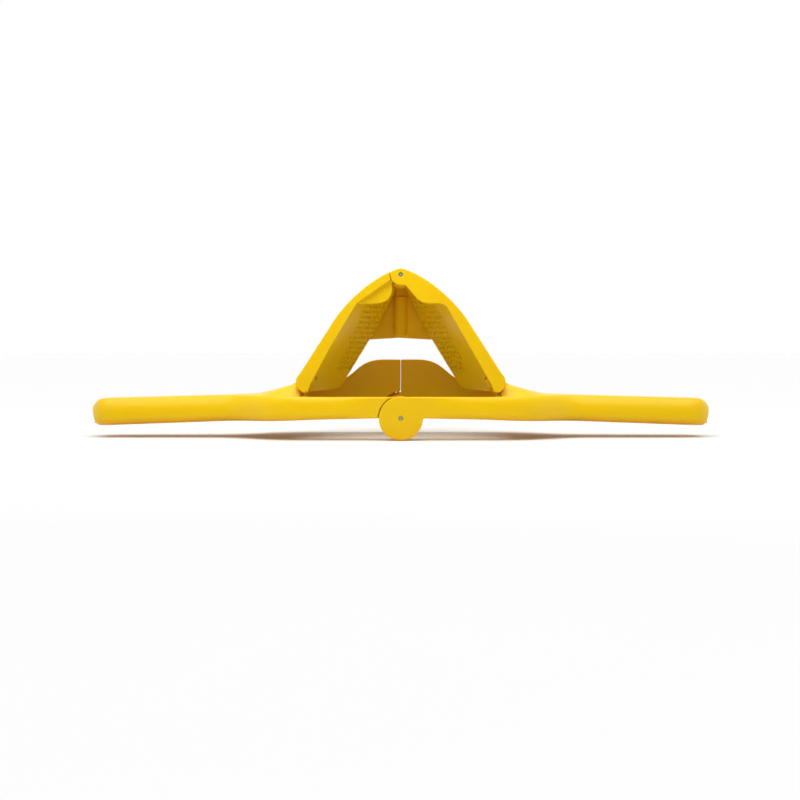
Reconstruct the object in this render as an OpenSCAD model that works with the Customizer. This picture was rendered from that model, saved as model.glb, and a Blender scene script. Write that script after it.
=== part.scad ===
// Folding citrus press juicer. Two long handles with open ring frames swing on one main pivot. Each ring
// frame carries a hollow press plate on a hinge, and the two plates meet at an apex pivot, so that folding
// the handles together draws the apex down and squeezes the fruit between the plates.
// The handles are shown spread flat. +X runs to the right handle, +Y to the back, and +Z up.

/* [Linkage] */
// Distance from the main pivot to the tip of each handle
reach = 200; // [180:1:220]
// Height of the apex pivot above the main pivot
apex_h = 89; // [88:0.5:90]
// Sideways distance of each plate hinge from the main pivot
hinge_x = 58.3; // [58:0.1:58.6]
// Height of each plate hinge above the main pivot
hinge_z = 22.2; // [22:0.1:22.4]
// Angle that each plate turns through when the handles close
plate_turn = 25.3; // [25:0.1:26]

/* [Handles] */
// Full width over the two rails of a ring frame
frame_w = 84; // [82:0.5:88]
// Thickness of a rail
rail_t = 6.5; // [6.5:0.1:7]
// Height of the rails above the main pivot
rail_h = 13.2; // [12.5:0.1:13.4]
// Width of the raised deck between the rails
deck_w = 66; // [60:1:70]
// Height of the rear guard above the main pivot
guard_h = 36; // [30:0.5:38]
// Radius of the discs at the main pivot
disc_r = 13.7; // [13.5:0.1:14]
// Width of the grip at its tip
grip_w = 30; // [26:1:34]

/* [Press plates] */
// Full depth of a press plate, front to back
plate_w = 70; // [69:0.5:70]
// Radius of the rounded corner around each plate hinge
corner_r = 7; // [6.5:0.1:7]
// Radius of the barrel at the apex
apex_r = 6.5; // [6:0.1:6.5]
// Thickness of the plate walls
wall = 2.6; // [2.5:0.1:2.8]
// How far the press wall curves in towards the other plate at its back edge
lean = 17; // [15:0.5:17]
// How sharply the press wall curves, from 1 for a flat wall
lean_power = 1.9; // [1.2:0.1:2.2]
// Thickness of the solid front rim
rim_t = 7; // [5:0.5:9]

/* [Pins] */
// Radius of the main and apex pins
pin_r = 1.25; // [1.1:0.05:1.4]
// Radius of the plate hinge pins
hinge_pin_r = 1.5; // [1.3:0.05:1.6]
// Radial clearance of a pin in a bore that turns on it
run_gap = 0.05; // [0.03:0.01:0.1]

/* [Hidden] */
$fn = 96;

half_w = frame_w / 2;
half_p = plate_w / 2;
fit_gap = 0.02;                         // a pin in its own bore
side_gap = 0.3;                         // between parts that slide past each other
layer = (rail_t - side_gap) / 2;        // thickness of each half of a rail at the pivot
seam = 0.45;                            // round the discs and the barrels
far = 400;
O = [0, disc_r];                        // pivots in the XZ plane
A = [-hinge_x, disc_r + hinge_z];
T = [0, disc_r + apex_h];

// Layers of the plates, front to back: 1 right web, 2 left leaf, 3 right back web, 4 left back web, 5 as 1
web_t = 2.8;
y1 = -half_p;
y2 = y1 + web_t + side_gap;
y2_end = y2 + web_t;
y5 = half_p - web_t;
y4 = y5 - side_gap - web_t;
y3 = y4 - side_gap - web_t;
rib_out = 2.2;                          // how far the rib stands in front of the right back web
wall_end = y3 - rib_out - side_gap;

// Straight inner edge of the front rim, from its foot near the hinge to its top
rim_foot = [-57.7, disc_r + 21.4];
rim_top = [-27.7, disc_r + 70.4];
rim_dir = (rim_top - rim_foot) / norm(rim_top - rim_foot);
rim_in = [rim_dir[1], -rim_dir[0]];     // points towards the fruit
floor_z = disc_r + 16;                  // underside of the press wall
web_drop = 38.5;                        // from the apex down to the lower edge of the back webs
web_z = T[1] - web_drop;
web_over = 4;                           // how far the right back web passes the centre line

guard_gap = 0.15;                       // from the centre plane to each half of the guard
lug_y = 18;                             // centre of each hinge lug
lug_w = 8;
lug_r = 4.5;                            // of the lugs and of the barrel round each hinge pin

// Points on an arc, a cubic curve, and polar offsets from a point
function arc(c, r, a0, a1, n = 12) = [for (i = [0:n]) c + r * polar(a0 + (a1 - a0) * i / n)];
function polar(a) = [cos(a), sin(a)];
function bez(a, b, c, d, n = 12) = [for (i = [0:n]) let (t = i / n, s = 1 - t)
    s * s * s * a + 3 * s * s * t * b + 3 * s * t * t * c + t * t * t * d];

// Extrudes an XZ outline from y0 to y1
module slab(y0, y1) {
    translate([0, y1, 0]) rotate([90, 0, 0]) linear_extrude(y1 - y0) children();
}

// A rod along Y
module rod(c, r, y0, y1) {
    translate([0, y1, 0]) rotate([90, 0, 0]) linear_extrude(y1 - y0) translate(c) circle(r);
}

// Outer line of a left plate, from its corner up to the apex, moved in by d
straight_in = [0.837, -0.547];
crown_lean = [0.97, 0.24];
function crown_start(d) = [-41.5, disc_r + 60.7] + d * straight_in;
function crown_end(d) = T + [0, 4 - d / crown_lean[0]];
function outer_line(d) = concat(
    [A + (corner_r - 0.3 - d) * polar(146)],
    bez(crown_start(d), crown_start(d) + 18 * [0.56, 0.83],
        crown_end(d) - 14 * crown_lean, crown_end(d), 16));

// The side of a left plate that faces the other plate once the handles are closed
fold_dir = -polar(90 - plate_turn);
fold_in = [-fold_dir[1], fold_dir[0]];
fold_gap = 0.45;

// Side view of a left plate, moved in by d from its skin, raised by low and run past the fold face by over
module plate_region(d = 0, low = 0, over = 0) {
    fold_top = T + (over - fold_gap) * fold_in;
    intersection() {
        polygon(concat(outer_line(d), [T + [far, 4], [far, floor_z], [A[0], floor_z]]));
        polygon([T + [-2, 20], fold_top + 3.5 * fold_dir, fold_top + 100 * fold_dir, [-far, 0], [-far, far]]);
        translate([0, low]) polygon(concat(
            [[-far, floor_z]],
            bez([-50, floor_z], [-42, floor_z], [-38, floor_z + 2], [-31, floor_z + 8], 6),
            [[far, floor_z + 20], [far, far], [-far, far]]));
    }
}

// How far the press wall has curved in at depth y
function lean_at(y) = lean * pow((y - y1) / (wall_end - y1), lean_power);

// Everything on the outer side of the press wall's inner face, moved out by d
module behind_press_wall(d = 0) {
    out = d * 1.1;
    rise = atan2(rim_dir[1], rim_dir[0]);
    curve_end = wall_end + 2;
    steps = 10;
    curve = [for (i = [0:steps]) let (y = y1 + (curve_end - y1) * i / steps) [lean_at(y) - out, y]];
    translate([rim_foot[0], 0, rim_foot[1]]) rotate([0, -rise, 0]) rotate([0, 90, 0])
        translate([0, 0, -far / 2]) linear_extrude(far)
        polygon(concat(
            [[-out, y1 - 9]], curve,
            [[lean_at(curve_end) - out + 4, half_p + 9], [-far / 2, half_p + 9], [-far / 2, y1 - 9]]));
}

// Cuts the saddle that a left plate has round the apex barrel
module clear_of_apex() {
    difference() {
        children();
        translate(T) circle(apex_r + seam);
    }
}

// Hollow wedge of a left plate: solid rim in front, open pocket at the back
module left_wedge(saddle) {
    intersection() {
        slab(y1, wall_end) {
            if (saddle) clear_of_apex() plate_region();
            else plate_region();
        }
        behind_press_wall();
    }
}

module left_pocket() {
    intersection() {
        slab(y1 + rim_t, half_p) difference() {
            plate_region(wall, wall, 5);
            translate(T) circle(apex_r + wall);
        }
        behind_press_wall(wall);
    }
}

module skin_band() {
    intersection() {
        difference() {
            polygon(concat(outer_line(0), [T, A]));
            polygon(concat(outer_line(wall), [T - [0, 30], A + [60, 0]]));
        }
        translate([-far, floor_z]) square([far, far]);
    }
}

// Barrel round a plate's hinge pin, with the plate's round outer corner, which stops just past the rim
corner_over = 1.2;
module hinge_barrel() {
    rod(A, lug_r, y1 + rim_t, half_p);
    slab(-half_p, half_p) intersection() {
        translate(A) circle(corner_r);
        polygon([for (p = [[far, 1], [-far, 1], [-far, -far], [far, -far]])
            rim_foot + p[0] * rim_dir + p[1] * corner_over * rim_in]);
    }
}

// Bands of the end layers, between the outer line and the rim's inner edge
step_top = [-7, disc_r + 85.3];
module left_end_band() {
    polygon(concat(
        outer_line(0), [T, step_top, [-30.4, disc_r + 69.1], rim_foot + 1.5 * rim_in, A - [0, corner_r]]));
}

// Cuts a left web back to an open half-round cradle for the apex pin
module cradle() {
    difference() {
        children();
        translate(T) circle(pin_r + run_gap);
        difference() {
            translate(T) circle(6);
            cradle_side();
        }
    }
}

// Edges of the webs that end inside the skin, and inside the press wall
function web_root() = [crown_start(1) + [8, 9], T + [-12, -3], T + [-6, 2]];
function back_web_foot() = [rim_foot + 30 * rim_dir - 2 * rim_in, rim_top - 2 * rim_in];

// Left leaf, one layer in from the front
module left_leaf() {
    cradle() polygon(concat(
        [T + [-1, -2]],
        bez(T + [-5.8, -4.7], T + [-3.6, -12], T + [-8, -17.6], T + [-14.4, -17.8], 10),
        [[-25.5, disc_r + 70.9], rim_top - 3 * rim_in], web_root(), [T + [-1, 2]]));
}

// Left back web, closing the far side down to its lower edge
module left_back_web() {
    cradle() polygon(concat(
        [T + [1, -7], T + [1, 2.5 - web_drop], T + [-1.5, -web_drop]], back_web_foot(), web_root(),
        [T + [-1, 2], T + [0, -4]]));
}

// Right web in left-hand coordinates: outermost layer, with its S-shaped lower edge
module right_web_mirrored() {
    intersection() {
        polygon(concat(
            outer_line(0), [T + [far, 4], T + [far, -6.5], T + [-1.1, -6.5], T + [-3.1, -6.6]],
            bez(T + [-4.5, -8.6], T + [-9, -13], T + [-10, -17.9], T + [-18, -17.9], 10),
            bez(T + [-23, -17.9], T + [-26, -18], T + [-27.5, -19], rim_top - 2 * rim_dir, 4),
            [rim_foot + 1.5 * rim_in, A - [0, corner_r]]));
        union() {
            under_crown() translate(T) circle(apex_r);
            translate([-far, 0]) square([far, far]);
        }
    }
}

// The region left of the apex pin, seen from a left plate open and closed
module cradle_side() {
    intersection() {
        translate(T - [far, far]) square([far, 2 * far]);
        translate(T) rotate(-plate_turn) translate([-far, -far]) square([far, 2 * far]);
    }
}

// Room in a plate for a hinge lug and its arm while the plate turns
module lug_room() {
    for (s = [-1, 1])
        slab(s * lug_y - lug_w / 2 - side_gap, s * lug_y + lug_w / 2 + side_gap) {
            translate(A) circle(lug_r + 0.5);
            polygon(concat([A], arc(A, 14, 165, 322, 16)));
        }
}

module left_press_plate() color("gold") {
    difference() {
        union() {
            difference() {
                left_wedge(true);
                left_pocket();
            }
            slab(-half_p, half_p) clear_of_apex() skin_band();
            slab(y1, y2 - side_gap) clear_of_apex() left_end_band();
            slab(y5, half_p) clear_of_apex() left_end_band();
            hinge_barrel();
            slab(y2, y2_end) left_leaf();
            slab(y4, y4 + web_t) left_back_web();
        }
        lug_room();
        rod(A, hinge_pin_r + fit_gap, -half_p + 3, half_p + 1);
    }
}

module right_press_plate() color("gold") mirror([1, 0, 0]) {
    difference() {
        union() {
            difference() {
                left_wedge(false);
                left_pocket();
            }
            slab(-half_p, half_p) skin_band();
            slab(y1, y2 - side_gap) right_web_mirrored();
            slab(y5, half_p) right_web_mirrored();
            slab(y2_end + side_gap, wall_end) barrel_mirrored();
            slab(y3, y3 + web_t) right_back_web_mirrored();
            back_rib();
            hinge_barrel();
        }
        slab(y2 - side_gap, y2_end + side_gap) leaf_room_mirrored();
        slab(y4 - side_gap, y4 + web_t + side_gap) leaf_room_mirrored();
        lug_room();
        rod(A, hinge_pin_r + fit_gap, -half_p + 3, half_p + 1);
        rod(T, pin_r + fit_gap, -half_p - 1, half_p + 1);
    }
}

// Barrel at the apex, under the crown line
module barrel_mirrored() {
    under_crown() translate(T) circle(apex_r);
}

// Trims a shape to the crown line of both plates
module under_crown() {
    intersection() {
        children();
        for (s = [0, 1]) mirror([s, 0]) polygon(concat(outer_line(0), [T + [0, -20], A]));
    }
}

// Upright half-round rib on the front of the right back web
module back_rib() {
    round_r = 5.6;
    intersection() {
        translate([0, y3 - rib_out + round_r, web_z + 1]) cylinder(r = round_r, h = T[1] - web_z - 12);
        translate([-10, y3 - rib_out - 1, 0]) cube([10 + web_over, rib_out + 2, far]);
    }
}

// Right back web, in left-hand coordinates
module right_back_web_mirrored() {
    polygon(concat(
        [T + [web_over - 1, -5.5], T + [web_over, -14], T + [web_over, 2.5 - web_drop]],
        [T + [web_over - 2.5, -web_drop]], back_web_foot(), web_root(), [T + [0, 2]]));
}

// Space that the left plate's leaf needs beside the apex pin
module leaf_room_mirrored() {
    translate(T) circle(apex_r + seam);
    polygon([T, T + [-9, 0], T + [-9, -20], T + [0, -20]]);
}

// Side outline of a left handle
module handle_side() {
    polygon(concat(
        arc([-reach + 8, disc_r + 3.2], 8, 180, 92, 8),
        [[-98, disc_r + 13.7], [-50, disc_r + rail_h], O + [0, rail_h], O],
        [[-14, disc_r], [-54, disc_r - 1], [-78, disc_r - 2]],
        arc([-reach + 5, disc_r - 3.4], 3, 270, 190, 6)));
}

// Side outline of the deck that rises between the rails to the plate hinge
module deck_side() {
    polygon(concat(
        bez([-98, disc_r + 13.7], [-84, disc_r + 15], [-78, disc_r + 18.6],
            A + (corner_r - 1) * polar(188), 8),
        [A + (corner_r - 1) * polar(255), [-50, disc_r + rail_h], [-50, disc_r + 4], [-98, disc_r + 4]]));
}

// Plan of a left handle: ring frame, shoulders and grip
module handle_plan() {
    shoulder = [-62, half_w];
    neck = [-118, grip_w / 2 + 2];
    side = concat([[0, half_w]], bez(shoulder, shoulder - [30, 0], neck + [22, 0], neck, 16),
        arc([-reach + grip_w / 2, 0], grip_w / 2, 90, 180, 10));
    polygon(concat(side, [for (i = [len(side) - 2:-1:0]) [side[i][0], -side[i][1]]]));
}

module hinge_lugs() {
    for (s = [-1, 1])
        slab(s * lug_y - lug_w / 2, s * lug_y + lug_w / 2) {
            translate(A) circle(lug_r);
            polygon([A, A + 10 * polar(185), A + [-9, -16], A + 9 * polar(255)]);
        }
}

// Half of the guard that rises from the rear rails behind the fruit
module guard_side() {
    polygon(concat(
        [[-guard_gap, disc_r + 6], [-guard_gap, disc_r + guard_h]],
        bez([-12, disc_r + guard_h], [-30, disc_r + guard_h], [-31, disc_r + 23], [-43, disc_r + 22], 12),
        bez([-53, disc_r + 21.4], [-60, disc_r + 21], [-64, disc_r + 18], [-66, disc_r + 8], 8)));
}

// One handle, with its guard on the y = +1 or -1 side. The right handle is this one turned round
module handle(guard) {
    guard_y = guard * (half_w - rail_t + layer / 2);
    difference() {
        union() {
            difference() {
                union() {
                    intersection() {
                        union() {
                            slab(-half_w, half_w) handle_side();
                            slab(-deck_w / 2, deck_w / 2) deck_side();
                        }
                        linear_extrude(far) handle_plan();
                    }
                    slab(guard_y - layer / 2, guard_y + layer / 2) guard_side();
                }
                slab(-half_w + rail_t, half_w - rail_t) {
                    polygon([[-63, -1], [-63, A[1]], [far, A[1]], [far, -1]]);
                }
                rod(A, corner_r + seam, -half_w - 1, half_w + 1);
                // the front rail stops short of the other handle's disc
                rod(O, disc_r + seam, -half_w - 1, -half_w + layer + side_gap);
                rod(O, disc_r + seam, half_w - rail_t - 1, half_w - layer);
            }
            rod(O, disc_r - 1, -half_w + layer + side_gap, -half_w + rail_t);
            rod(O, disc_r, half_w - layer, half_w);
            hinge_lugs();
        }
        rod(O, pin_r + run_gap, -half_w - 1, 0);
        rod(O, pin_r + fit_gap, 0, half_w + 1);
        rod(A, hinge_pin_r + run_gap, -half_p, half_p);
    }
}

module left_handle() color("gold") handle(1);
module right_handle() color("gold") rotate(180) handle(-1);
module front_pivot_pin() color("silver") rod(O, pin_r, -half_w + 0.1, -half_w + rail_t);
module rear_pivot_pin() color("silver") rod(O, pin_r, half_w - rail_t, half_w - 0.1);
module apex_pin() color("silver") rod(T, pin_r, -half_p + 0.1, half_p - 0.1);
module left_hinge_pin() color("silver") rod(A, hinge_pin_r, -half_p + 3.1, half_p - 0.1);
module right_hinge_pin() color("silver") mirror([1, 0, 0]) rod(A, hinge_pin_r, -half_p + 3.1, half_p - 0.1);

left_handle();
right_handle();
left_press_plate();
right_press_plate();
front_pivot_pin();
rear_pivot_pin();
apex_pin();
left_hinge_pin();
right_hinge_pin();
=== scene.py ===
"""Looks of the folding citrus press: satin yellow mouldings, steel pins and a pale studio.

Each piece starts from its own CAD node, so pivots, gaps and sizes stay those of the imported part.
Handles are rounded into soft grips and rails, and the press walls get their grid of small bumps.
The handles lie along X, the plates rise along Z, and the front faces -Y.
"""

import math

import bmesh
import bpy
from mathutils import Matrix, Vector
from mathutils.bvhtree import BVHTree


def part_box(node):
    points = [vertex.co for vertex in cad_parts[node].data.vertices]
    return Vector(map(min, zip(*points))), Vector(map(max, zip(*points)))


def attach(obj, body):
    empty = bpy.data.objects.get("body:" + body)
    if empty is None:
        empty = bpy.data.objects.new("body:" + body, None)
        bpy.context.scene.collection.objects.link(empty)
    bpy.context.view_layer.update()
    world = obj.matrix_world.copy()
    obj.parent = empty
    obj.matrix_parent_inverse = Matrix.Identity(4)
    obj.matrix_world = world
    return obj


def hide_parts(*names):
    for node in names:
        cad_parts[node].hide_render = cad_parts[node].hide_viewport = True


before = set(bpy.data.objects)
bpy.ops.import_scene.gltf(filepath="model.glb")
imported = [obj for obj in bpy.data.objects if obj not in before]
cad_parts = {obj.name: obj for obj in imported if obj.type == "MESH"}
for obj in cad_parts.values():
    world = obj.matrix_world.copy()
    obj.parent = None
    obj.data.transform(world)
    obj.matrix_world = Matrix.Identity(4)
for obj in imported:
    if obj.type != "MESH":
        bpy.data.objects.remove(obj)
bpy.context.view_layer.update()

MM = 0.001


def centre_of(node):
    """Middle of a CAD node's box."""
    low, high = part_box(node)
    return (low + high) / 2


MAIN_PIVOT = centre_of("front_pivot_pin")
APEX = centre_of("apex_pin")

# Fineness of the mouldings' meshes
VOXEL = 0.45 * MM
WELD = 0.002 * MM


# ---------------------------------------------------------------- mesh tools


def new_object(name, mesh):
    """Links a mesh into the scene under a name."""
    obj = bpy.data.objects.new(name, mesh)
    bpy.context.collection.objects.link(obj)
    return obj


def from_bmesh(name, bm, smooth=True):
    """Turns a bmesh into an object."""
    bmesh.ops.recalc_face_normals(bm, faces=bm.faces)
    mesh = bpy.data.meshes.new(name)
    bm.to_mesh(mesh)
    bm.free()
    for face in mesh.polygons:
        face.use_smooth = smooth
    return new_object(name, mesh)


def cad_copy(node, name):
    """A free copy of a CAD node with the seams between its faces welded."""
    bm = bmesh.new()
    bm.from_mesh(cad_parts[node].data)
    bmesh.ops.remove_doubles(bm, verts=bm.verts, dist=WELD)
    return from_bmesh(name, bm, smooth=False)


def settle(obj):
    """Bakes an object's modifiers into its mesh."""
    depsgraph = bpy.context.evaluated_depsgraph_get()
    mesh = bpy.data.meshes.new_from_object(obj.evaluated_get(depsgraph))
    obj.modifiers.clear()
    obj.data = mesh


def remesh(obj, voxel):
    """Rebuilds a mesh as even small faces."""
    modifier = obj.modifiers.new("remesh", "REMESH")
    modifier.mode = "VOXEL"
    modifier.voxel_size = voxel
    modifier.use_smooth_shade = True
    settle(obj)


def soften(obj, rounds, factor=0.5):
    """Relaxes a mesh, which rounds its edges as a mould does."""
    modifier = obj.modifiers.new("soften", "SMOOTH")
    modifier.factor = factor
    modifier.iterations = rounds
    settle(obj)


def cylinder_along_y(name, centre, radius, half_length, sides=64):
    """A closed cylinder along Y."""
    bm = bmesh.new()
    turn = Matrix.Rotation(math.pi / 2, 4, "X")
    place = Matrix.Translation(centre) @ turn
    bmesh.ops.create_cone(
        bm, cap_ends=True, segments=sides, radius1=radius, radius2=radius,
        depth=2 * half_length, matrix=place,
    )
    return from_bmesh(name, bm, smooth=False)


def cut(obj, cutter):
    """Subtracts one closed mesh from another and removes the cutter."""
    modifier = obj.modifiers.new("cut", "BOOLEAN")
    modifier.operation = "DIFFERENCE"
    modifier.solver = "MANIFOLD"
    modifier.object = cutter
    settle(obj)
    bpy.data.objects.remove(cutter)


def cut_bore(obj, pin, clearance):
    """Cuts the bore of a CAD pin along its whole length and past its ends."""
    low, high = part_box(pin)
    radius = (high.x - low.x) / 2 + clearance
    half_length = (high.y - low.y) / 2 + 1 * MM
    cut(obj, cylinder_along_y("bore", centre_of(pin), radius, half_length))


def smoothstep(low, high, value):
    """Eases from 0 at low to 1 at high."""
    t = min(max((value - low) / (high - low), 0), 1)
    return t * t * (3 - 2 * t)


# ---------------------------------------------------------------- handles

# Where the flat face round the disc ends and the full rounding begins, from the main pivot
FLAT_END = 13 * MM
ROUND_START = 46 * MM
# Where the rails give way to the deck, and the deck to the grip
RAIL_END = 62 * MM
DECK_END = 98 * MM
GRIP_START = 110 * MM
# Just outside the saddle for the plate hinge
LIP = 67 * MM
# The deck rises from its edge over this width
DECK_HALF = 33 * MM
DECK_CROWN = 15 * MM
CROWN_START = 63.2 * MM
# Depth of the rounding, across the handle
RAIL_ROUND = 3.4 * MM
GRIP_ROUND = 8.5 * MM
# Share of the side's height that the top rounding takes
TOP_SHARE = 0.74
# Height of the rays that find the half width, above the main pivot
WIDTH_LEVEL = 3.2 * MM
# How far inside the outer face the heights are measured
EDGE_INSET = 2 * MM
STATION_STEP = 1 * MM


class Profile:
    """Sections of a handle at steps along its length, found by rays on the CAD shape."""

    def __init__(self, obj, side):
        self.side = side
        depsgraph = bpy.context.evaluated_depsgraph_get()
        self.tree = BVHTree.FromObject(obj, depsgraph)
        low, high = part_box(side_node(side))
        count = int(max(-low.x, high.x) / STATION_STEP)
        self.stations = [self.measure(i * STATION_STEP) for i in range(1, count)]

    def hit(self, along, y, z, direction):
        """Where a ray across the handle first meets it."""
        return self.tree.ray_cast(Vector((self.side * along, y, z)), Vector(direction))[0]

    def half_width(self, along):
        return self.hit(along, 1, MAIN_PIVOT.z + WIDTH_LEVEL, (0, -1, 0)).y

    def top(self, along, y):
        return self.hit(along, y, 1, (0, 0, -1)).z

    def edge_top(self, along):
        """Height of the outer top edge, which runs straight past the deck."""
        if RAIL_END < along < DECK_END:
            share = (along - RAIL_END) / (DECK_END - RAIL_END)
            return self.edge_top(RAIL_END) * (1 - share) + self.edge_top(DECK_END) * share
        return self.top(along, max(self.half_width(along) - EDGE_INSET, 0))

    def measure(self, along):
        """(half width, bottom, top edge, deck top) at one distance from the main pivot."""
        half = self.half_width(along)
        bottom = self.hit(along, max(half - EDGE_INSET, 0), -1, (0, 0, 1)).z
        return half, bottom, self.edge_top(along), self.top(max(along, LIP), 0)

    def at(self, along):
        """The section at any distance, between the two nearest steps."""
        place = min(max(along / STATION_STEP - 1, 0), len(self.stations) - 1.001)
        index = int(place)
        share = place - index
        near, far = self.stations[index], self.stations[index + 1]
        return tuple(a + (b - a) * share for a, b in zip(near, far))


def side_node(side):
    return "left_handle" if side < 0 else "right_handle"


def rounding_at(along):
    """How deep the rounding reaches across the handle."""
    full = RAIL_ROUND + (GRIP_ROUND - RAIL_ROUND) * smoothstep(RAIL_END, GRIP_START, along)
    return full * smoothstep(FLAT_END, ROUND_START, along)


def round_point(point, half_width, bottom, top, depth):
    """Pulls a point inside a section whose sides are half ellipses."""
    depth = min(depth, 0.9 * half_width)
    across = (abs(point.y) - (half_width - depth)) / depth
    split = top - (top - bottom) * TOP_SHARE
    if point.z > split:
        rise = (point.z - split) / (top - split)
    else:
        rise = (split - point.z) / (split - bottom)
    reach = math.hypot(across, rise)
    if across <= 0 or rise > 1.06 or reach <= 1:
        return
    point.y = math.copysign(half_width - depth + depth * across / reach, point.y)
    if point.z > split:
        point.z = split + (top - split) * rise / reach
    else:
        point.z = split - (split - bottom) * rise / reach


def crown_point(point, edge, top, deck_top):
    """Lowers a point of the deck so that it rises smoothly from the rails to the middle."""
    share = min(max((edge - abs(point.y)) / DECK_CROWN, 0), 1)
    limit = top + max(deck_top - top, 0) * (1 - (1 - share) ** 2)
    point.z = min(point.z, limit)


def round_handle(obj, profile):
    """Rounds the outer sides of a handle from the disc to its tip, and crowns its deck."""
    for vertex in obj.data.vertices:
        along = profile.side * vertex.co.x
        depth = rounding_at(along)
        if depth < 0.2 * MM:
            continue
        half, bottom, top, deck_top = profile.at(along)
        if CROWN_START < along < DECK_END and vertex.co.z < deck_top + 0.5 * MM:
            crown_point(vertex.co, min(DECK_HALF, half - depth), top, deck_top)
        round_point(vertex.co, half, bottom, top, depth)


def make_handle(side):
    """One handle: ring frame, shoulder deck and grip."""
    node = side_node(side)
    obj = cad_copy(node, node + "_moulding")
    profile = Profile(obj, side)
    remesh(obj, VOXEL)
    round_handle(obj, profile)
    remesh(obj, VOXEL)
    soften(obj, 4)
    for pin in ("front_pivot_pin", "rear_pivot_pin", PINS_OF_HINGE[side]):
        cut_bore(obj, pin, BORE_GAP)
    finish_piece(obj, node, node, handle_plastic)
    return obj


# ---------------------------------------------------------------- press plates

PINS_OF_HINGE = {-1: "left_hinge_pin", 1: "right_hinge_pin"}
BORE_GAP = 0.12 * MM

# Grid of bumps on the press wall
BUMP_PITCH_UP = 3.8 * MM
BUMP_PITCH_IN = 4.2 * MM
BUMP_BASE = 2.2 * MM
BUMP_TOP = 1.5 * MM
BUMP_HEIGHT = 1.2 * MM
BUMP_SINK = 0.4 * MM
BUMP_ROWS = 15
BUMP_COLUMNS = 8
# Depth of the rearmost column, and height of the lowest row
BUMP_BACK = 21 * MM
BUMP_LOW = 44 * MM
# The face where the closed plates meet leans this far from upright, and the bumps stay clear of it
FOLD_LEAN = math.radians(25.3)
FOLD_CLEARANCE = 0.4 * MM
# How many columns the lowest rows lose along the smooth margin beside the rim
MARGIN_COLUMNS = 3.4


def bump_shape(bm, place):
    """A small square bump with a rounded top, drawn with its base sunk into the wall."""
    rings = (
        (BUMP_BASE / 2, -BUMP_SINK),
        (BUMP_BASE / 2, 0),
        (BUMP_BASE / 2 * 0.86, BUMP_HEIGHT * 0.35),
        (BUMP_TOP / 2 * 1.15, BUMP_HEIGHT * 0.85),
        (BUMP_TOP / 2 * 0.7, BUMP_HEIGHT),
    )
    steps = 16
    loops = []
    for half, height in rings:
        loop = []
        for i in range(steps):
            angle = 2 * math.pi * (i + 0.5) / steps
            c, s = math.cos(angle), math.sin(angle)
            square = 1 / (abs(c) ** 5 + abs(s) ** 5) ** 0.2
            loop.append(bm.verts.new(place @ Vector((half * c * square, half * s * square, height))))
        loops.append(loop)
    for lower, upper in zip(loops, loops[1:]):
        for i in range(steps):
            j = (i + 1) % steps
            bm.faces.new((lower[i], lower[j], upper[j], upper[i]))
    bm.faces.new(loops[-1])
    bm.faces.new(list(reversed(loops[0])))


def to_fold(spot):
    """Distance of a point from the face where the closed plates meet."""
    return abs(spot.x - APEX.x) * math.cos(FOLD_LEAN) - (APEX.z - spot.z) * math.sin(FOLD_LEAN)


def wall_place(tree, side, y, z):
    """Frame on the press wall at a depth and height, with its Z axis off the wall, or None past the wall."""
    spot, normal, _, _ = tree.ray_cast(Vector((0, y, z)), Vector((side, 0, 0)))
    if spot is None or side * normal.x > -0.5 or to_fold(spot) < BUMP_HEIGHT + FOLD_CLEARANCE:
        return None
    up = Vector((0, 1, 0)).cross(normal).normalized()
    into = up.cross(normal).normalized()
    turn = Matrix((into, up, normal)).transposed().to_4x4()
    return Matrix.Translation(spot) @ turn


def make_bumps(tree, side):
    """All the bumps of one press wall as one mesh."""
    bm = bmesh.new()
    for row in range(BUMP_ROWS):
        z = BUMP_LOW + row * BUMP_PITCH_UP * 0.86
        margin = MARGIN_COLUMNS * (1 - row / (BUMP_ROWS - 1))
        for column in range(BUMP_COLUMNS):
            if column > BUMP_COLUMNS - 1 - margin:
                continue
            place = wall_place(tree, side, BUMP_BACK - column * BUMP_PITCH_IN, z)
            if place is not None:
                bump_shape(bm, place)
    return from_bmesh("bumps", bm)


def join(parts):
    """Joins meshes into the first one."""
    with bpy.context.temp_override(
        active_object=parts[0], selected_objects=parts, selected_editable_objects=parts
    ):
        bpy.ops.object.join()
    return parts[0]


# Rounded top over the apex pin, measured from the pin: its radius, its centre's height and the slope beside it
DOME_RADIUS = 7 * MM
DOME_DROP = 2.7 * MM
DOME_SLOPE = 0.5


def round_apex(obj):
    """Trims both crown lines to a smooth dome over the apex pin."""
    turn = math.atan(DOME_SLOPE)
    side_start = DOME_RADIUS * math.sin(turn)
    for vertex in obj.data.vertices:
        x = abs(vertex.co.x - APEX.x)
        if x < side_start:
            height = math.sqrt(DOME_RADIUS ** 2 - x * x)
        elif x < 2 * DOME_RADIUS:
            height = DOME_RADIUS * math.cos(turn) - DOME_SLOPE * (x - side_start)
        else:
            continue
        vertex.co.z = min(vertex.co.z, APEX.z - DOME_DROP + height)


def make_plate(side):
    """One press plate: rim, curved press wall, skin, hinge barrel and webs, with its bumps."""
    name = "left" if side < 0 else "right"
    node = name + "_press_plate"
    obj = cad_copy(node, node + "_moulding")
    tree = BVHTree.FromObject(obj, bpy.context.evaluated_depsgraph_get())
    remesh(obj, VOXEL * 0.9)
    round_apex(obj)
    soften(obj, 3)
    for pin in ("apex_pin", PINS_OF_HINGE[side]):
        cut_bore(obj, pin, BORE_GAP)
    bumps = make_bumps(tree, side)
    join([obj, bumps])
    finish_piece(obj, node, name + "_plate", plate_plastic)
    return obj


# ---------------------------------------------------------------- pins

CHAMFER = 0.25 * MM
DIMPLE_RADIUS = 0.45 * MM
DIMPLE_DEPTH = 0.3 * MM


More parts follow.
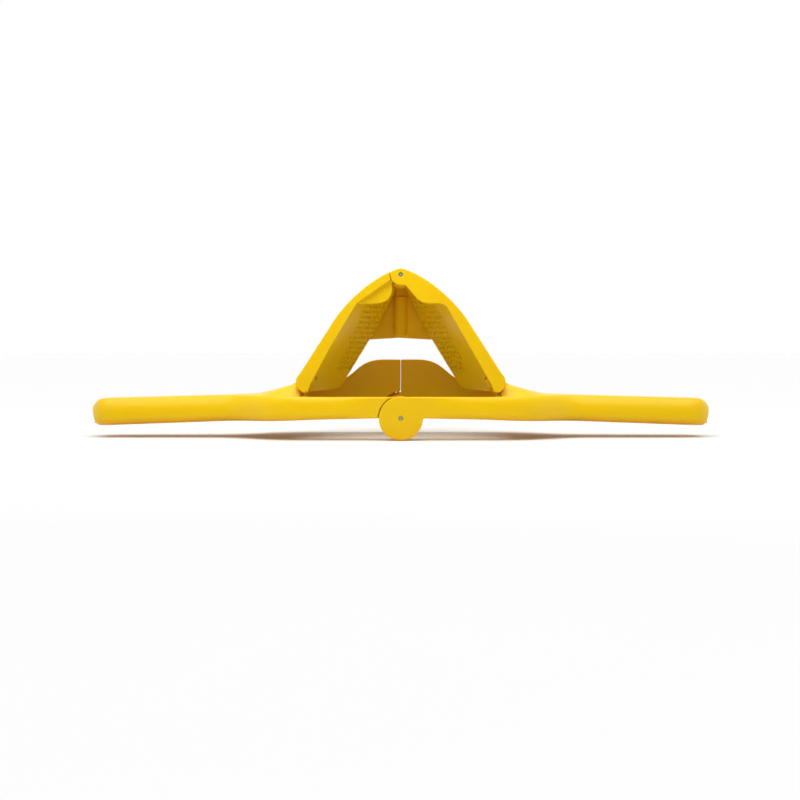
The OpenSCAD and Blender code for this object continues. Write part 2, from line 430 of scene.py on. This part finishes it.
def make_pin(node, body):
    """A turned pin with chamfered ends and a small centre mark in each end."""
    low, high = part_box(node)
    radius = (high.x - low.x) / 2
    half = (high.y - low.y) / 2
    profile = [
        (0, half - DIMPLE_DEPTH),
        (DIMPLE_RADIUS, half),
        (radius - CHAMFER, half),
        (radius, half - CHAMFER),
        (radius, 0),
    ]
    profile += [(r, -h) for r, h in reversed(profile[:-1])]
    bm = bmesh.new()
    centre = centre_of(node)
    verts = [bm.verts.new(centre + Vector((r, h, 0))) for r, h in profile]
    edges = [bm.edges.new(pair) for pair in zip(verts, verts[1:])]
    bmesh.ops.spin(
        bm, geom=verts + edges, cent=centre, axis=(0, 1, 0), angle=2 * math.pi, steps=48,
        use_merge=True,
    )
    bmesh.ops.remove_doubles(bm, verts=bm.verts, dist=WELD)
    obj = from_bmesh(node + "_turned", bm, smooth=False)
    finish_piece(obj, node, body, steel)
    return obj


def finish_piece(obj, node, body, material):
    """Gives a piece its material and its body, and hides the CAD node it stands for."""
    obj.data.materials.clear()
    obj.data.materials.append(material)
    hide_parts(node)
    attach(obj, body)


# ---------------------------------------------------------------- materials


class Graph:
    """A small helper that adds and links shader nodes."""

    def __init__(self, name):
        self.material = bpy.data.materials.new(name)
        self.material.use_nodes = True
        self.tree = self.material.node_tree
        self.shader = self.tree.nodes["Principled BSDF"]

    def add(self, kind, **values):
        node = self.tree.nodes.new(kind)
        for key, value in values.items():
            if key in node.inputs:
                node.inputs[key].default_value = value
            else:
                setattr(node, key, value)
        return node

    def link(self, source, target):
        self.tree.links.new(source, target)

    def noise(self, scale, detail=3.0, roughness=0.5):
        coords = self.add("ShaderNodeTexCoord")
        noise = self.add("ShaderNodeTexNoise", Scale=scale, Detail=detail, Roughness=roughness)
        self.link(coords.outputs["Object"], noise.inputs["Vector"])
        return noise.outputs["Fac"]

    def ramp(self, source, low, high):
        """Maps 0..1 onto low..high."""
        node = self.add("ShaderNodeMapRange")
        node.inputs["To Min"].default_value = low
        node.inputs["To Max"].default_value = high
        self.link(source, node.inputs["Value"])
        return node.outputs["Result"]

    def mix(self, factor, first, second):
        """Mixes two colours, each a socket or a tuple."""
        node = self.add("ShaderNodeMix", data_type="RGBA")
        self.link(factor, node.inputs["Factor"])
        for socket, value in ((node.inputs[6], first), (node.inputs[7], second)):
            if isinstance(value, tuple):
                socket.default_value = value
            else:
                self.link(value, socket)
        return node.outputs[2]

    def edges(self, low, high):
        """0 on flat areas and 1 on sharp convex edges."""
        geometry = self.add("ShaderNodeNewGeometry")
        node = self.add("ShaderNodeMapRange")
        node.inputs["From Min"].default_value = low
        node.inputs["From Max"].default_value = high
        self.link(geometry.outputs["Pointiness"], node.inputs["Value"])
        return node.outputs["Result"]

    def painted_shade_openness(self, reach):
        """1 in the open and 0 deep in a hollow, by ambient occlusion: the mask for the painted shade in
        hollows.
        """
        node = self.add("ShaderNodeAmbientOcclusion", Distance=reach, samples=8)
        spread = self.add("ShaderNodeMapRange")
        spread.inputs["From Min"].default_value = 0.25
        spread.inputs["From Max"].default_value = 0.70
        self.link(node.outputs["AO"], spread.inputs["Value"])
        return spread.outputs["Result"]

    def times(self, first, second):
        node = self.add("ShaderNodeMath", operation="MULTIPLY")
        for socket, value in zip(node.inputs, (first, second)):
            if isinstance(value, float):
                socket.default_value = value
            else:
                self.link(value, socket)
        return node.outputs[0]

    def plus(self, first, second):
        node = self.add("ShaderNodeMath", operation="ADD")
        self.link(first, node.inputs[0])
        self.link(second, node.inputs[1])
        return node.outputs[0]

    def bump(self, layers):
        """Stacks (height socket, distance) layers of bump on the shader's normal."""
        normal = None
        for height, distance in layers:
            node = self.add("ShaderNodeBump", Strength=1.0, Distance=distance)
            self.link(height, node.inputs["Height"])
            if normal:
                self.link(normal, node.inputs["Normal"])
            normal = node.outputs["Normal"]
        self.link(normal, self.shader.inputs["Normal"])


YELLOW = (0.83, 0.535, 0.001, 1)
YELLOW_DEEP = (0.80, 0.505, 0.001, 1)
YELLOW_WORN = (0.87, 0.60, 0.02, 1)
# Painted shade: a deeper orange for sheltered hollows, standing in for light that has bounced off yellow walls
# on every side
YELLOW_PAINTED_SHADE = (0.82, 0.39, 0.001, 1)
# How far the ambient occlusion looks for walls that darken the painted shade
PAINTED_SHADE_REACH = 25 * MM


def plastic_material(name, dullest, shiniest, specular):
    """Satin moulded plastic: faint cloudy colour, fine orange peel and slightly paler edges."""
    g = Graph(name)
    cloud = g.noise(60.0, 4.0)
    # Painted shade: the colour turns a deeper orange wherever ambient occlusion finds a hollow
    base = g.mix(g.painted_shade_openness(PAINTED_SHADE_REACH), YELLOW_PAINTED_SHADE, g.mix(cloud, YELLOW, YELLOW_DEEP))
    wear = g.times(g.edges(0.52, 0.60), g.ramp(g.noise(400.0), 0.0, 0.5))
    g.link(g.mix(wear, base, YELLOW_WORN), g.shader.inputs["Base Color"])
    rough = g.plus(g.ramp(g.noise(150.0), shiniest, dullest), g.ramp(g.noise(2500.0), -0.03, 0.03))
    g.link(rough, g.shader.inputs["Roughness"])
    g.bump(((g.noise(900.0, 2.0), 0.02 * MM), (g.noise(4000.0, 2.0), 0.006 * MM)))
    g.shader.inputs["Specular IOR Level"].default_value = specular
    g.shader.inputs["Subsurface Weight"].default_value = 0.3
    g.shader.inputs["Subsurface Radius"].default_value = (1.0, 0.4, 0.05)
    g.shader.inputs["Subsurface Scale"].default_value = 3 * MM
    return g.material


def steel_material():
    """Turned steel: fine scratches round the pin, and dull spots."""
    g = Graph("turned_steel")
    coords = g.add("ShaderNodeTexCoord")
    stretch = g.add("ShaderNodeMapping")
    stretch.inputs["Scale"].default_value = (1, 12, 1)
    noise = g.add("ShaderNodeTexNoise", Scale=3000.0, Detail=4.0)
    g.link(coords.outputs["Object"], stretch.inputs["Vector"])
    g.link(stretch.outputs["Vector"], noise.inputs["Vector"])
    lines = noise.outputs["Fac"]
    g.link(g.mix(g.noise(1200.0), (0.30, 0.31, 0.33, 1), (0.42, 0.43, 0.45, 1)), g.shader.inputs["Base Color"])
    g.link(g.plus(g.ramp(lines, 0.24, 0.40), g.ramp(g.noise(500.0), -0.04, 0.06)), g.shader.inputs["Roughness"])
    g.bump(((lines, 0.01 * MM),))
    g.shader.inputs["Metallic"].default_value = 1.0
    return g.material


def floor_material():
    """Matt white studio sweep."""
    g = Graph("studio_floor")
    g.link(g.mix(g.noise(3.0), (0.77, 0.77, 0.77, 1), (0.79, 0.79, 0.79, 1)), g.shader.inputs["Base Color"])
    g.link(g.ramp(g.noise(8.0), 0.85, 0.95), g.shader.inputs["Roughness"])
    return g.material


handle_plastic = plastic_material("handle_plastic", dullest=0.40, shiniest=0.30, specular=0.22)
plate_plastic = plastic_material("plate_plastic", dullest=0.52, shiniest=0.42, specular=0.12)
steel = steel_material()


# ---------------------------------------------------------------- studio


def make_floor():
    """A wide pale floor under the object."""
    bm = bmesh.new()
    bmesh.ops.create_grid(bm, x_segments=8, y_segments=8, size=30)
    floor = from_bmesh("floor", bm)
    floor.location.z = -0.1 * MM
    floor.data.materials.append(floor_material())


# The surround's brightness is 1 near the horizon and falls to these shares overhead and on the front side
OVERHEAD_GLOW = 0.45
FRONT_GLOW = 0.18


def fade_node(tree, source, start, end, final):
    """A factor that is 1 up to start and final from end onwards."""
    node = tree.nodes.new("ShaderNodeMapRange")
    node.inputs["From Min"].default_value = start
    node.inputs["From Max"].default_value = end
    node.inputs["To Min"].default_value = 1.0
    node.inputs["To Max"].default_value = final
    tree.links.new(source, node.inputs["Value"])
    return node.outputs["Result"]


def make_world():
    """A white surround that is dimmer overhead, where the key light takes over, and in front."""
    world = bpy.data.worlds.new("studio")
    world.use_nodes = True
    tree = world.node_tree
    background = tree.nodes["Background"]
    background.inputs["Color"].default_value = (1, 1, 1, 1)
    direction = tree.nodes.new("ShaderNodeTexCoord")
    split = tree.nodes.new("ShaderNodeSeparateXYZ")
    product = tree.nodes.new("ShaderNodeMath")
    product.operation = "MULTIPLY"
    tree.links.new(direction.outputs["Generated"], split.inputs["Vector"])
    tree.links.new(fade_node(tree, split.outputs["Z"], 0.40, 0.60, OVERHEAD_GLOW), product.inputs[0])
    tree.links.new(fade_node(tree, split.outputs["Y"], -0.2, -0.8, FRONT_GLOW), product.inputs[1])
    # Every view has the same white backdrop; the fades only shape the light on the object
    path = tree.nodes.new("ShaderNodeLightPath")
    strength = tree.nodes.new("ShaderNodeMath")
    strength.operation = "MAXIMUM"
    tree.links.new(product.outputs[0], strength.inputs[0])
    tree.links.new(path.outputs["Is Camera Ray"], strength.inputs[1])
    tree.links.new(strength.outputs[0], background.inputs["Strength"])
    bpy.context.scene.world = world


def make_key_light(strength, spread, elevation, azimuth):
    """A very broad light from far above, so that it falls evenly on the floor as well."""
    light = bpy.data.lights.new("key", "SUN")
    light.energy = strength
    light.angle = math.radians(spread)
    obj = bpy.data.objects.new("key", light)
    obj.rotation_euler = (math.radians(90 - elevation), 0, math.radians(azimuth))
    bpy.context.collection.objects.link(obj)


def make_softbox(place, target, size, power):
    """A square softbox aimed at a point."""
    light = bpy.data.lights.new("softbox", "AREA")
    light.shape = "SQUARE"
    light.size = size
    light.energy = power
    obj = bpy.data.objects.new("softbox", light)
    obj.location = place
    obj.rotation_euler = (Vector(target) - Vector(place)).to_track_quat("-Z", "Y").to_euler()
    obj.visible_camera = False
    bpy.context.collection.objects.link(obj)


def make_camera():
    """A level front view from a little above the middle, tilted slightly down."""
    distance = 0.8
    height = 54.7 * MM
    aim_height = 23.5 * MM
    half_width_seen = 0.26
    data = bpy.data.cameras.new("camera")
    data.sensor_width = 36
    data.lens = data.sensor_width / 2 * distance / half_width_seen
    data.clip_end = 100
    camera = bpy.data.objects.new("camera", data)
    camera.location = (-0.5 * MM, -distance, height)
    aim = Vector((-0.5 * MM, 0, aim_height)) - camera.location
    camera.rotation_euler = aim.to_track_quat("-Z", "Y").to_euler()
    bpy.context.collection.objects.link(camera)
    bpy.context.scene.camera = camera


for side in (-1, 1):
    make_handle(side)
    make_plate(side)
make_pin("front_pivot_pin", "right_handle")
make_pin("rear_pivot_pin", "left_handle")
make_pin("apex_pin", "right_plate")
make_pin("left_hinge_pin", "left_plate")
make_pin("right_hinge_pin", "right_plate")

make_floor()
make_world()
make_key_light(strength=2.5, spread=70, elevation=81, azimuth=-8)
make_softbox(place=(-0.03, -0.16, 0.26), target=(0, 0, 0.09), size=0.14, power=0.27)
make_camera()
bpy.context.scene.view_settings.view_transform = "Standard"
